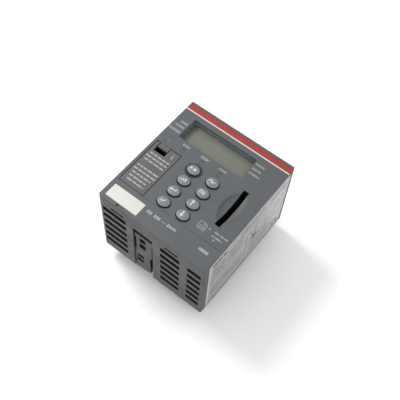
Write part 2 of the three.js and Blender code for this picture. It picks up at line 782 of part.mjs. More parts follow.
function board(low) {
  const high = low + BOARD.thickness;
  return block(boardEdge.left, boardEdge.right, boardEdge.bottom, boardEdge.top, low, high);
}

// The display board leaves room for the battery tray and the card socket.
function displayBoard() {
  const low = displayBoardTop - BOARD.thickness;
  const trayCut = block(
    left, tray.right + GAP, bottom, tray.top + GAP, low - THROUGH, displayBoardTop + THROUGH,
  );
  const socketCut = centredBlock(
    card.x, card.y, 2 * (cardSocket.halfWidth + GAP), 2 * (cardSocket.halfLength + GAP),
    low - THROUGH, displayBoardTop + THROUGH,
  );
  return board(low).subtract(trayCut).subtract(socketCut);
}

function powerBoard() {
  const low = BOARD_LEVEL.power;
  const holes = spacerPlaces.map(({ x, y }) => centredRod(
    x, y, SCREW.bore, low - THROUGH, powerBoardTop + THROUGH,
  ));
  return board(low).subtract(wasm.Manifold.union(holes));
}

function cardSocketBody() {
  const low = cardSocket.top - CARD.socketDepth;
  const { halfWidth, halfLength } = cardSocket;
  const body = centredBlock(card.x, card.y, 2 * halfWidth, 2 * halfLength, low, cardSocket.top);
  const slot = centredBlock(
    card.x, card.y, CARD.width, CARD.length, low + CARD.socketWall, cardSocket.top + THROUGH,
  );
  return body.subtract(slot);
}

function screw({ x, y }) {
  const seat = powerBoardTop + CONTACT_GAP;
  const middle = seat + SCREW.headHeight / 2;
  const shank = centredRod(x, y, SCREW.radius, BOARD_LEVEL.power - SCREW.bite, middle);
  const head = centredRod(x, y, SCREW.head, seat, seat + SCREW.headHeight);
  const above = seat + SCREW.headHeight + THROUGH;
  const slot = centredBlock(x, y, 2 * SCREW.head + THROUGH, SCREW.slot, middle, above);
  return shank.add(head).subtract(slot);
}

// The plug and socket strip that joins two boards, near their top edge.
function boardHeader(low, high) {
  const y = boardEdge.top - HEADER.fromEdge;
  return centredBlock(0, y, HEADER.length, HEADER.width, low + SOLDER_GAP, high - SOLDER_GAP);
}

function squareComponent({ x, y, width, length, height }, boardTop) {
  return centredBlock(x, y, width, length, boardTop + SOLDER_GAP, boardTop + height);
}

function roundComponent({ x, y, radius, height }, boardTop) {
  return centredRod(x, y, radius, boardTop + SOLDER_GAP, boardTop + height, FACETS.round);
}

// ---------------------------------------------------------------- rear cover and plugs

const sidePlugX = inner.right - PLUG.sideInset;
const plugs = {
  bus: { x: -sidePlugX, y: 0, width: PLUG.width, length: PLUG.length },
  terminal: { x: sidePlugX, y: 0, width: PLUG.width, length: PLUG.length },
  supply: {
    x: 0, y: bottom + MIDDLE_PLUG.fromBottom, width: MIDDLE_PLUG.width, length: MIDDLE_PLUG.length,
  },
};

// A rear plug with a comb of contact grooves across its end.
function rearPlug({ x, y, width, length }) {
  let body = centredBlock(x, y, width, length, 0, BOARD_LEVEL.power - CONTACT_GAP);
  const count = Math.floor(length / PLUG.groovePitch) - 1;
  for (let index = 0; index < count; index += 1) {
    const grooveY = y + (index - (count - 1) / 2) * PLUG.groovePitch;
    body = body.subtract(centredBlock(
      x, grooveY, width - 2 * PLUG.rim, PLUG.groove, -THROUGH, PLUG.grooveDepth,
    ));
  }
  return body;
}

function rearCover() {
  const high = rear + REAR_COVER.thickness;
  const plate = block(
    inner.left + GAP, inner.right - GAP, inner.bottom + GAP, inner.top - GAP, rear, high,
  );
  const spacers = spacerPlaces.map(({ x, y }) => centredRod(
    x, y, SPACER.radius, rear + REAR_COVER.thickness / 2, BOARD_LEVEL.power - CONTACT_GAP,
  ));
  const bores = spacerPlaces.map(({ x, y }) => centredRod(
    x, y, SCREW.bore, BOARD_LEVEL.power - SCREW.bite - GAP, powerBoardTop,
  ));
  const openings = Object.values(plugs).map(({ x, y, width, length }) => centredBlock(
    x, y, width + 2 * GAP, length + 2 * GAP, rear - THROUGH, high + THROUGH,
  ));
  const latchRoom = block(
    latchWindow.left - GAP, latchWindow.right + GAP, bottom,
    bottom + LATCH.inset + LATCH.thickness + LATCH_HOOK.reach + 2 * GAP, rear - THROUGH, high + THROUGH,
  );
  return wasm.Manifold.union([plate, ...spacers])
    .subtract(wasm.Manifold.union([...bores, ...openings, latchRoom, mirrorToTop(latchRoom)]));
}

// ---------------------------------------------------------------- the assembly

addPart('housing_body', 'casing', housingBody());
addPart('front_cover', 'casing', frontCover());
addPart('rear_cover', 'casing', rearCover());
addPart('red_band', 'band', film(bandBottom, bandTop));
addPart('pinstripe', 'white', film(stripeBottom, stripeTop));
addPart('marker_plate', 'white', markerPlate());
addPart('type_plate', 'plate', typePlate());

addPart('display_panel', 'screen', displayPanel());
addPart('display_frame', 'black', displayFrame());
for (const { name, x, y } of keyPlaces()) {
  addPart(`key_${name}`, 'key', keyCap(x, y));
}
addPart('run_key_ring', 'black', keyRing(0, front - KEY_RING.groove, front + KEY_RING.rise));
addPart('key_mat', 'rubber', keyMat());
for (const [name, x] of Object.entries(LAMPS)) {
  addPart(`light_guide_${name}`, 'lamp', lightGuide(x));
}

addPart('battery_door', 'door', batteryDoor());
addPart('door_hinge_pin', 'steel', hingePin());
addPart('door_catch', 'casing', doorCatch());
addPart('battery_tray', 'black', batteryTray());
addPart('battery', 'can', batteryCell());
addPart('battery_contact_minus', 'steel', batteryContact(battery.low - GAP));
addPart('battery_contact_plus', 'steel', batteryContact(battery.high + 2 * GAP));

addPart('bottom_latch', 'casing', bottomLatch());
addPart('bottom_latch_pin', 'steel', latchPin());
addPart('top_latch', 'casing', mirrorToTop(bottomLatch()));
addPart('top_latch_pin', 'steel', mirrorToTop(latchPin()));

addPart('display_board', 'board', displayBoard());
addPart('processor_board', 'board', board(processorBoardBack));
addPart('power_board', 'board', powerBoard());
addPart('card_socket', 'black', cardSocketBody());

addPart('upper_header', 'black', boardHeader(processorBoardTop, displayBoardTop - BOARD.thickness));
addPart('lower_header', 'black', boardHeader(powerBoardTop, processorBoardBack));
addPart('processor', 'chip', squareComponent(COMPONENTS.processor, processorBoardTop));
addPart('memory_chip', 'chip', squareComponent(COMPONENTS.memoryChip, processorBoardTop));
addPart('transformer', 'copper', squareComponent(COMPONENTS.transformer, powerBoardTop));
addPart('inductor', 'chip', roundComponent(COMPONENTS.inductor, powerBoardTop));
addPart('capacitor_input', 'can', roundComponent(COMPONENTS.inputCapacitor, powerBoardTop));
addPart('capacitor_output', 'can', roundComponent(COMPONENTS.outputCapacitor, powerBoardTop));

for (const [name, plug] of Object.entries(plugs)) {
  addPart(`${name}_plug`, 'black', rearPlug(plug));
}
spacerPlaces.forEach((place, index) => {
  addPart(`board_screw_${index + 1}`, 'steel', screw(place));
});

export default module;
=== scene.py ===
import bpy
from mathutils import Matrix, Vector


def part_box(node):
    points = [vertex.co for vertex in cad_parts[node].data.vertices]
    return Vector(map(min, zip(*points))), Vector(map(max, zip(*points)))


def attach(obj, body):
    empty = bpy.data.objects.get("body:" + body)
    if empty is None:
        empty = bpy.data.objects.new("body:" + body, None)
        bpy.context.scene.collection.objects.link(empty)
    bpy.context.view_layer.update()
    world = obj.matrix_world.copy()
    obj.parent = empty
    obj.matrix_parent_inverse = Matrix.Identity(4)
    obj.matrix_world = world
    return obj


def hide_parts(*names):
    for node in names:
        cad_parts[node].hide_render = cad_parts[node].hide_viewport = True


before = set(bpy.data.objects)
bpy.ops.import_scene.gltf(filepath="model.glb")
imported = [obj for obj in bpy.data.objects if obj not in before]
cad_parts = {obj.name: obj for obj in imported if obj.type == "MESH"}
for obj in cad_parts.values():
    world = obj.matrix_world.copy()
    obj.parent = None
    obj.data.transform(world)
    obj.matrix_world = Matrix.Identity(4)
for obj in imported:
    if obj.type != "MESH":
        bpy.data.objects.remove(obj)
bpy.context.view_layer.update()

import math
import random

import bmesh
import bpy
from mathutils import Matrix, Vector

MM = 0.001
PRINT_SEED = 7
random.seed(PRINT_SEED)

# ---------------------------------------------------------------- places taken from the frame


def corners(node):
    """The lowest and highest corner of a CAD node."""
    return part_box(node)


face_low, face_high = corners("front_cover")
FRONT = face_high.z
LEFT, RIGHT = face_low.x, face_high.x
BOTTOM, TOP = face_low.y, face_high.y
case_low = corners("housing_body")[0]
door_low, door_high = corners("battery_door")
panel_low, panel_high = corners("display_panel")
slot_low, slot_high = corners("card_socket")
plate_low, plate_high = corners("type_plate")

# ---------------------------------------------------------------- camera, light and floor

CAMERA_PLACE = Vector((0.10497, -0.15573, 0.35934))
CAMERA_LOOK = Vector((-0.28131, 0.42506, -0.86034))
CAMERA_UP = Vector((-0.54877, 0.66422, 0.50760))
CAMERA_LENS = 62.3
SENSOR = 36
NEAREST_SEEN = 0.01
FARTHEST_SEEN = 10
LIGHT_TARGET = Vector((0, 0, 0.03))  # about the middle of the module
LIGHTS = {
    "key_light": {"place": (-0.5, 0.05, 0.7), "size": 0.25, "power": 4},
    "fill_light": {"place": (0.35, -0.4, 0.8), "size": 0.8, "power": 0.6},
}
WORLD_STRENGTH = 0.9
FLOOR_REACH = 3
FLOOR_DROP = 0.0002
FLOOR_COLOUR = (0.93, 0.93, 0.93, 1)
FLOOR_ROUGHNESS = 0.9


def make_camera():
    data = bpy.data.cameras.new("camera")
    data.lens = CAMERA_LENS
    data.sensor_width = SENSOR
    data.clip_start = NEAREST_SEEN
    data.clip_end = FARTHEST_SEEN
    camera = bpy.data.objects.new("camera", data)
    side = CAMERA_LOOK.cross(CAMERA_UP).normalized()
    up = side.cross(CAMERA_LOOK).normalized()
    turn = Matrix((side, up, -CAMERA_LOOK.normalized())).transposed()
    camera.matrix_world = Matrix.Translation(CAMERA_PLACE) @ turn.to_4x4()
    bpy.context.scene.collection.objects.link(camera)
    bpy.context.scene.camera = camera


def make_light(name, place, size, power):
    data = bpy.data.lights.new(name, "AREA")
    data.shape = "DISK"
    data.size = size
    data.energy = power
    light = bpy.data.objects.new(name, data)
    light.location = place
    light.rotation_mode = "QUATERNION"
    light.rotation_quaternion = (LIGHT_TARGET - Vector(place)).to_track_quat("-Z", "Y")
    bpy.context.scene.collection.objects.link(light)


def make_world(strength):
    world = bpy.data.worlds.new("studio")
    world.use_nodes = True
    background = world.node_tree.nodes["Background"]
    background.inputs["Color"].default_value = (1, 1, 1, 1)
    background.inputs["Strength"].default_value = strength
    bpy.context.scene.world = world


def make_floor():
    mesh = bpy.data.meshes.new("floor")
    corner_points = [
        (-FLOOR_REACH, -FLOOR_REACH, 0),
        (FLOOR_REACH, -FLOOR_REACH, 0),
        (FLOOR_REACH, FLOOR_REACH, 0),
        (-FLOOR_REACH, FLOOR_REACH, 0),
    ]
    mesh.from_pydata(corner_points, [], [(0, 1, 2, 3)])
    floor = bpy.data.objects.new("floor", mesh)
    floor.location.z = -FLOOR_DROP
    bpy.context.scene.collection.objects.link(floor)
    look = bpy.data.materials.new("floor")
    look.use_nodes = True
    shader = look.node_tree.nodes["Principled BSDF"]
    shader.inputs["Base Color"].default_value = FLOOR_COLOUR
    shader.inputs["Roughness"].default_value = FLOOR_ROUGHNESS
    mesh.materials.append(look)


make_camera()
make_world(WORLD_STRENGTH)
for light_name, light_setting in LIGHTS.items():
    make_light(light_name, **light_setting)
make_floor()
bpy.context.scene.view_settings.view_transform = "Standard"

# ---------------------------------------------------------------- materials

SHARP = 0.00001  # the distance over which a mask turns on
NOISE_BAND = (0.3, 0.7)  # most of a noise's values lie between these
WORN_REACH = 0.0006
WORN_PATCH_SIZE = 0.004
WORN_PATCH_BAND = (0.38, 0.68)
WORN_SHARE = 0.5
WORN_TONE = 1.9  # tones multiply a material's colour
MOTTLE_SIZE = 0.018
MOTTLE_TONES = (0.93, 1.07)
GRAIN_BAND = (0.35, 0.75)
GRAIN_SHARE = 0.35
GRAIN_TONE = 1.3
SCRATCH_SIZE = 0.0012
SCRATCH_STRETCH = (1, 14, 6)
SCRATCH_BAND = (0.66, 0.72)
SCRATCH_SHARE = 0.2
SCRATCH_TONE = 1.4
# Painted shade inside a box: it starts this far below the box's faces, is full at this depth, and
# multiplies the colour by this tone.
INSIDE_SHADE_START = 0.0003
INSIDE_SHADE_FULL = 0.0006
INSIDE_SHADE_TONE = 0.12
# Painted shade below a height: it fades in over this height and multiplies the colour by this tone.
FOOT_SHADE_FADE = 0.0004
FOOT_SHADE_TONE = 0.2
SMUDGE_SIZE = 0.011
SMUDGE_BAND = (0.3, 0.75)


class Look:
    """A procedural material under construction: short calls that add and join its nodes."""

    def __init__(self, name):
        self.material = bpy.data.materials.new(name)
        self.material.use_nodes = True
        self.tree = self.material.node_tree
        self.shader = self.tree.nodes["Principled BSDF"]
        self.place = self.add("ShaderNodeTexCoord").outputs["Object"]
        self.axes = None

    def add(self, kind, **settings):
        node = self.tree.nodes.new(kind)
        for key, value in settings.items():
            setattr(node, key, value)
        return node

    def join(self, source, target):
        self.tree.links.new(source, target)

    def along(self, axis):
        """The place along one axis, in metres."""
        if self.axes is None:
            self.axes = self.add("ShaderNodeSeparateXYZ")
            self.join(self.place, self.axes.inputs[0])
        return self.axes.outputs["XYZ".index(axis)]

    def stretched(self, scale):
        """The place, scaled by a different amount along each axis."""
        mapping = self.add("ShaderNodeMapping")
        mapping.inputs["Scale"].default_value = scale
        self.join(self.place, mapping.inputs["Vector"])
        return mapping.outputs["Vector"]

    def noise(self, size, detail=2.0, roughness=0.5, place=None):
        """Cloudy noise with features of about this size, in metres."""
        node = self.add("ShaderNodeTexNoise")
        node.inputs["Scale"].default_value = 1 / size
        node.inputs["Detail"].default_value = detail
        node.inputs["Roughness"].default_value = roughness
        self.join(place or self.place, node.inputs["Vector"])
        return node.outputs["Fac"]

    def ramp(self, source, low, high, to_low=0.0, to_high=1.0):
        """source between low and high, spread over to_low to to_high."""
        node = self.add("ShaderNodeMapRange")
        for socket, value in zip(node.inputs[1:5], (low, high, to_low, to_high)):
            socket.default_value = value
        self.join(source, node.inputs[0])
        return node.outputs[0]

    def combine(self, operation, first, second):
        node = self.add("ShaderNodeMath", operation=operation)
        for socket, value in zip(node.inputs, (first, second)):
            if isinstance(value, (int, float)):
                socket.default_value = value
            else:
                self.join(value, socket)
        return node.outputs[0]

    def mix(self, factor, first, second):
        """A colour between two colours or colour sockets."""
        node = self.add("ShaderNodeMix", data_type="RGBA")
        self.join(factor, node.inputs[0])
        for socket, value in zip((node.inputs[6], node.inputs[7]), (first, second)):
            if isinstance(value, (tuple, list)):
                socket.default_value = (*value, 1)
            else:
                self.join(value, socket)
        return node.outputs[2]

    def bump(self, height, depth, strength=1.0, under=None):
        node = self.add("ShaderNodeBump")
        node.inputs["Distance"].default_value = depth
        node.inputs["Strength"].default_value = strength
        self.join(height, node.inputs["Height"])
        if under:
            self.join(under, node.inputs["Normal"])
        return node.outputs["Normal"]

    def depths(self, low, high):
        """How far inside the box from low to high each place is, along X, Y and Z."""
        found = []
        for axis, near, far in zip("XYZ", low, high):
            offset = self.combine("SUBTRACT", self.along(axis), (near + far) / 2)
            found.append(self.combine("SUBTRACT", (far - near) / 2, self.combine("ABSOLUTE", offset, 0.0)))
        return found

    def worn_edge(self, low, high):
        """1 along the edges of the box from low to high, fading out over WORN_REACH, in patches."""
        x_depth, y_depth, z_depth = self.depths(low, high)
        nearest = self.combine("MINIMUM", x_depth, y_depth)
        farther = self.combine("MAXIMUM", x_depth, y_depth)
        second = self.combine("MAXIMUM", nearest, self.combine("MINIMUM", farther, z_depth))
        patches = self.ramp(self.noise(WORN_PATCH_SIZE, 4, 0.7), *WORN_PATCH_BAND)
        return self.combine("MULTIPLY", self.ramp(second, WORN_REACH, 0.0), patches)

    def inside(self, low, high, start, end):
        """0 near the faces of the box from low to high, rising to 1 from start to end below them."""
        x_depth, y_depth, z_depth = self.depths(low, high)
        nearest = self.combine("MINIMUM", self.combine("MINIMUM", x_depth, y_depth), z_depth)
        return self.ramp(nearest, start, end)

    def within(self, low, high):
        """1 inside the box from low to high, and 0 outside it."""
        x_depth, y_depth, z_depth = self.depths(low, high)
        nearest = self.combine("MINIMUM", self.combine("MINIMUM", x_depth, y_depth), z_depth)
        return self.ramp(nearest, 0, SHARP)

    def finish(self, colour=None, roughness=None, normal=None, **values):
        sockets = {"Base Color": colour, "Roughness": roughness, "Normal": normal}
        for name, source in sockets.items():
            if source is not None:
                self.join(source, self.shader.inputs[name])
        for name, value in values.items():
            self.shader.inputs[name.replace("_", " ")].default_value = value
        return self.material


def shade(colour, factor):
    return tuple(min(1.0, channel * factor) for channel in colour)


def moulded(name, colour, roughness=0.55, grain=0.00022, grain_depth=0.00002, worn=None, shaded_inside_box=None,
            unshaded_boxes=(), light_and_shade_boxes=(), foot_shade_height=None):
    """Spark-eroded moulded plastic: fine grain, faint mottling and handling marks.

    worn is the box, as two corners, whose edges are rubbed lighter. shaded_inside_box is the box whose
    inside is darkened as painted shade, apart from unshaded_boxes. light_and_shade_boxes are openings,
    each with how much lighter (painted light) or darker (painted shade) its walls are painted.
    foot_shade_height is a height under which the colour is darkened as painted shade.
    """
    look = Look(name)
    mottle = look.noise(MOTTLE_SIZE, 4, 0.6)
    fine = look.noise(grain, 2, 0.7)
    darker, lighter = (shade(colour, factor) for factor in MOTTLE_TONES)
    tone = look.mix(look.ramp(mottle, *NOISE_BAND), darker, lighter)
    tone = look.mix(look.ramp(fine, *GRAIN_BAND, 0, GRAIN_SHARE), tone, shade(colour, GRAIN_TONE))
    if worn:
        rubbing = look.combine("MULTIPLY", look.worn_edge(*worn), WORN_SHARE)
        tone = look.mix(rubbing, tone, shade(colour, WORN_TONE))
    scratch_noise = look.noise(SCRATCH_SIZE, 3, 0.6, look.stretched(SCRATCH_STRETCH))
    scratches = look.ramp(scratch_noise, *SCRATCH_BAND, 0, SCRATCH_SHARE)
    tone = look.mix(scratches, tone, shade(colour, SCRATCH_TONE))
    # Painted shade: the inside of the box is darkened, except in the unshaded boxes.
    if shaded_inside_box:
        inside_shade_mask = look.inside(*shaded_inside_box, INSIDE_SHADE_START, INSIDE_SHADE_FULL)
        for box in unshaded_boxes:
            outside = look.combine("SUBTRACT", 1.0, look.within(*box))
            inside_shade_mask = look.combine("MULTIPLY", inside_shade_mask, outside)
        tone = look.mix(inside_shade_mask, tone, shade(colour, INSIDE_SHADE_TONE))
    # Painted light and shade on the walls of openings.
    for box, factor in light_and_shade_boxes:
        tone = look.mix(look.within(*box), tone, shade(colour, factor))
    # Painted shade: darker below the given height.
    if foot_shade_height:
        foot_shade_mask = look.ramp(look.along("Z"), foot_shade_height, foot_shade_height - FOOT_SHADE_FADE)
        tone = look.mix(foot_shade_mask, tone, shade(colour, FOOT_SHADE_TONE))
    smudge = look.noise(SMUDGE_SIZE, 3, 0.55)
    rough = look.ramp(smudge, *SMUDGE_BAND, roughness - 0.08, roughness + 0.1)
    return look.finish(tone, rough, look.bump(fine, grain_depth, 0.6))


CASING_COLOUR = (0.0655, 0.0705, 0.0752)
module_box = (case_low, Vector((RIGHT, TOP, FRONT)))
MARGIN = 0.05 * MM
LATCH_INSET = 0.8 * MM


def below_face(low, high, dark_from, dark_to):
    """The box round an opening in the cover, between two depths below the front face."""
    return (
        Vector((low.x - MARGIN, low.y - MARGIN, FRONT - dark_to)),
        Vector((high.x + MARGIN, high.y + MARGIN, FRONT - dark_from)),
    )


SOCKET_WALL = Vector((1.3 * MM, 1.3 * MM, 0))  # the socket is this much larger than the slot in the cover
PANEL_EDGE = Vector((0.5 * MM, 0.5 * MM, 0))  # the panel reaches this far under the cover
WINDOW_SHADOW_DEPTH = 0.75 * MM  # depth of the painted shadow line at the top of the display window's walls
# Painted shade darkens the walls of the card slot and draws a shadow line round the top of the display
# window's walls; painted light brightens those walls below it.
card_shade_box = below_face(slot_low + SOCKET_WALL, slot_high - SOCKET_WALL, -MARGIN, 4 * MM)
window_corners = (panel_low + PANEL_EDGE, panel_high - PANEL_EDGE)
joint_shadow_box = below_face(*window_corners, 0.1 * MM, WINDOW_SHADOW_DEPTH)
lit_surround_box = below_face(*window_corners, WINDOW_SHADOW_DEPTH, 5 * MM)
OPENING_LIGHT_AND_SHADE = ((card_shade_box, 0.15), (joint_shadow_box, 0.12), (lit_surround_box, 2.6))
casing = moulded("casing", CASING_COLOUR, worn=module_box, light_and_shade_boxes=OPENING_LIGHT_AND_SHADE)
latch_low, latch_high = corners("bottom_latch")
latch_box = (latch_low, Vector((latch_high.x, -latch_low.y, latch_high.z)))
LATCH_MARGIN = 0.5 * MM
# The walls of the latch windows, which are left without the painted shade of the shell's inside.
lit_edges = []
for side in (BOTTOM, TOP):
    lit_edges.append((
        Vector((latch_low.x - LATCH_MARGIN, side - LATCH_INSET, case_low.z)),
        Vector((latch_high.x + LATCH_MARGIN, side + LATCH_INSET, latch_high.z)),
    ))
# The shell's colour is darker than the casing's as painted shade for the side walls, and its inside is
# darkened as painted shade, except on the latch window walls.
shell = moulded(
    "shell", (0.053, 0.0536, 0.056), worn=module_box, shaded_inside_box=module_box, unshaded_boxes=lit_edges,
)
door_plastic = moulded("door_plastic", (0.069, 0.0725, 0.069), worn=(door_low, door_high))
# The key caps are darkened below 0.9 mm over the front face as painted shade on their sides.
key_plastic = moulded("key_plastic", (0.135, 0.148, 0.156), 0.4, grain=0.0003, foot_shade_height=FRONT + 0.0009)
# The latches are darkened inside their box as painted shade.
latch_plastic = moulded("latch_plastic", shade(CASING_COLOUR, 0.53), 0.5, shaded_inside_box=latch_box)
black_plastic = moulded("black_plastic", (0.004, 0.004, 0.0045), 0.6)
marker_plastic = moulded("marker_plastic", (0.52, 0.525, 0.485), 0.6, grain_depth=0.000005)
rubber = moulded("rubber", (0.012, 0.012, 0.013), 0.8)
board_green = moulded("board_green", (0.003, 0.014, 0.007), 0.4)
chip_black = moulded("chip_black", (0.006, 0.006, 0.0065), 0.5)


def printed_film(name, colour, roughness=0.38):
    """A printed film: even colour with a soft mottle and a slightly uneven gloss."""
    look = Look(name)
    mottle = look.noise(0.006, 3, 0.6)
    base = look.mix(look.ramp(mottle, *NOISE_BAND), shade(colour, 0.9), shade(colour, 1.08))
    dust = look.ramp(look.noise(0.0004, 2, 0.6), 0.68, 0.8, 0, 0.3)
    dusty = look.mix(dust, base, shade(colour, 1.5))
    rough = look.ramp(look.noise(0.004, 2, 0.5), *NOISE_BAND, roughness - 0.06, roughness + 0.08)
    return look.finish(dusty, rough, look.bump(mottle, 0.00002, 0.4))


red_film = printed_film("red_film", (0.26, 0.021, 0.013), 0.5)
white_film = printed_film("white_film", (0.6, 0.54, 0.52))
pale_ink = printed_film("pale_ink", (0.3, 0.31, 0.305), 0.5)
bright_ink = printed_film("bright_ink", (0.5, 0.52, 0.53), 0.5)
faint_ink = printed_film("faint_ink", (0.24, 0.245, 0.24), 0.5)
plate_ink = printed_film("plate_ink", (0.05, 0.05, 0.055), 0.5)
plate_faint_ink = printed_film("plate_faint_ink", (0.12, 0.12, 0.125), 0.5)
plate_edge_ink = printed_film("plate_edge_ink", (0.5, 0.48, 0.49), 0.4)


def silver_label():
    """The type plate: satin silver film, darker towards the module's bottom edge and lighter towards its
    top: a painted reflection.
    """
    look = Look("silver_label")
    # Painted reflection: the colour runs from darker at the plate's bottom end to lighter at its top end.
    painted_reflection = look.ramp(look.along("Y"), plate_low.y, plate_high.y)
    tone = look.mix(painted_reflection, (0.27, 0.27, 0.272), (0.4, 0.4, 0.4))
    cloud = look.noise(0.005, 4, 0.65)
    tone = look.mix(look.ramp(cloud, 0.35, 0.7, 0, 0.4), tone, (0.19, 0.19, 0.195))
    brushed = look.noise(0.0009, 3, 0.7, look.stretched((1, 1, 4)))
    tone = look.mix(look.ramp(brushed, 0.45, 0.7, 0, 0.5), tone, (0.55, 0.55, 0.55))
    tone = look.mix(look.ramp(brushed, 0.5, 0.3, 0, 0.45), tone, (0.15, 0.15, 0.155))
    rough = look.ramp(cloud, *NOISE_BAND, 0.32, 0.48)
    return look.finish(tone, rough, look.bump(brushed, 0.00001, 0.5), Metallic=0.15)


def metal(name, colour, roughness):
    look = Look(name)
    brushed = look.noise(0.0004, 3, 0.6, look.stretched((1, 1, 12)))
    rough = look.ramp(brushed, *NOISE_BAND, roughness - 0.08, roughness + 0.1)
    tone = look.mix(look.ramp(brushed, 0.2, 0.8), shade(colour, 0.85), shade(colour, 1.1))
    return look.finish(tone, rough, look.bump(brushed, 0.00001, 0.4), Metallic=1.0)


steel = metal("steel", (0.52, 0.52, 0.53), 0.32)
copper = metal("copper", (0.3, 0.12, 0.055), 0.35)
can_metal = metal("can_metal", (0.05, 0.055, 0.09), 0.35)
cell_metal = metal("cell_metal", (0.15, 0.16, 0.18), 0.3)


DISPLAY_CELL = 0.004


def display_glass():
    """The switched-off panel: grey-green, with the faint grid of its character cells."""
    look = Look("display_glass")
    tint = look.noise(0.02, 2, 0.5)
    colour = look.mix(look.ramp(tint, *NOISE_BAND), (0.124, 0.134, 0.108), (0.142, 0.15, 0.122))
    grid = look.add("ShaderNodeTexBrick", offset=0.0)
    grid.inputs["Scale"].default_value = 1 / DISPLAY_CELL
    grid.inputs["Mortar Size"].default_value = 0.015
    for socket, value in (("Color1", 1.0), ("Color2", 1.0), ("Mortar", 0.0)):
        grid.inputs[socket].default_value = (value, value, value, 1)
    look.join(look.place, grid.inputs["Vector"])
    celled = look.mix(look.ramp(grid.outputs["Color"], 0, 1, 0.15, 0), colour, (0.2, 0.21, 0.17))
    rough = look.ramp(look.noise(0.006, 2, 0.5), *NOISE_BAND, 0.22, 0.34)
    return look.finish(celled, rough, Coat_Weight=0.2, Coat_Roughness=0.12)


def light_guide_plastic():
    look = Look("light_guide_plastic")
    haze = look.noise(0.0015, 2, 0.5)
    colour = look.mix(look.ramp(haze, *NOISE_BAND), (0.06, 0.066, 0.07), (0.09, 0.098, 0.102))
    rough = look.ramp(haze, *NOISE_BAND, 0.2, 0.35)
    return look.finish(colour, rough, look.bump(haze, 0.00002, 0.5))


# ---------------------------------------------------------------- CAD nodes that are shown as they are

WELD_REACH = 0.000002
FLAT_ANGLE = math.radians(1)
ROUNDED_ANGLE = math.radians(35)
NORMAL_WEIGHT = 100


def dress(node, material, edge=0.12, steps=2):
    """Gives a CAD node its material and rounds its edges by this many millimetres."""
    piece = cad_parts[node]
    piece.data.materials.clear()
    piece.data.materials.append(material)
    for face in piece.data.polygons:
        face.use_smooth = True
    weld = piece.modifiers.new("weld", "WELD")
    weld.merge_threshold = WELD_REACH
    flats = piece.modifiers.new("flats", "DECIMATE")
    flats.decimate_type = "DISSOLVE"
    flats.angle_limit = FLAT_ANGLE
    rounding = piece.modifiers.new("rounding", "BEVEL")
    rounding.width = edge * MM
    rounding.segments = steps
    rounding.limit_method = "ANGLE"
    rounding.angle_limit = ROUNDED_ANGLE
    normals = piece.modifiers.new("normals", "WEIGHTED_NORMAL")
    normals.weight = NORMAL_WEIGHT


dress("housing_body", shell, 0.2)
dress("front_cover", casing, 0.12)
dress("rear_cover", casing)
dress("red_band", red_film, 0.04, 1)
dress("pinstripe", white_film, 0.04, 1)
dress("marker_plate", marker_plastic, 0.15)
dress("type_plate", silver_label(), 0.06, 1)
dress("display_panel", display_glass(), 0.05, 1)
dress("display_frame", black_plastic)
dress("run_key_ring", black_plastic, 0.04, 1)
dress("key_mat", rubber)
dress("battery_door", door_plastic, 0.12)
dress("door_catch", casing, 0.05)
dress("door_hinge_pin", steel, 0.05, 1)
dress("battery_tray", black_plastic)
dress("battery", cell_metal)
dress("card_socket", black_plastic)
guide_look = light_guide_plastic()
for lamp in ("power", "run", "error"):
    dress(f"light_guide_{lamp}", guide_look, 0.1)
for node in ("battery_contact_minus", "battery_contact_plus", "bottom_latch_pin", "top_latch_pin"):
    dress(node, steel, 0.05, 1)
for index in range(1, 5):
    dress(f"board_screw_{index}", steel, 0.1)
for node in ("bottom_latch", "top_latch"):
    dress(node, latch_plastic, 0.2)
for node in ("display_board", "processor_board", "power_board"):
    dress(node, board_green, 0.05, 1)
for node in ("upper_header", "lower_header", "bus_plug", "terminal_plug", "supply_plug"):
    dress(node, black_plastic, 0.15)
for node in ("processor", "memory_chip", "inductor"):
    dress(node, chip_black)
dress("transformer", copper, 0.4)
for node in ("capacitor_input", "capacitor_output"):
    dress(node, can_metal, 0.4)

# ---------------------------------------------------------------- key caps

LIP_REACH = 0.8 * MM
LIP_THICKNESS = 0.9 * MM
LIP_DEPTH = 1.7 * MM  # top of the lip, below the front face
STEM_INSET = 1.4 * MM
DOME_START = 0.8 * MM  # above the front face
SQUARENESS = 2.7  # 2 is a plain elliptical dome, and more is flatter with a tighter shoulder
CAP_SEGMENTS = 72
DOME_RINGS = 14
CAP_SHARP_ANGLE = math.radians(40)


def add_piece(name, shape, material, body):
    """Turns a bmesh into a piece with this material that rides on a body."""
    bmesh.ops.recalc_face_normals(shape, faces=shape.faces)
    mesh = bpy.data.meshes.new(name)
    shape.to_mesh(mesh)
    shape.free()
    mesh.materials.append(material)
    piece = bpy.data.objects.new(name, mesh)
    bpy.context.scene.collection.objects.link(piece)
    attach(piece, body)
    return piece


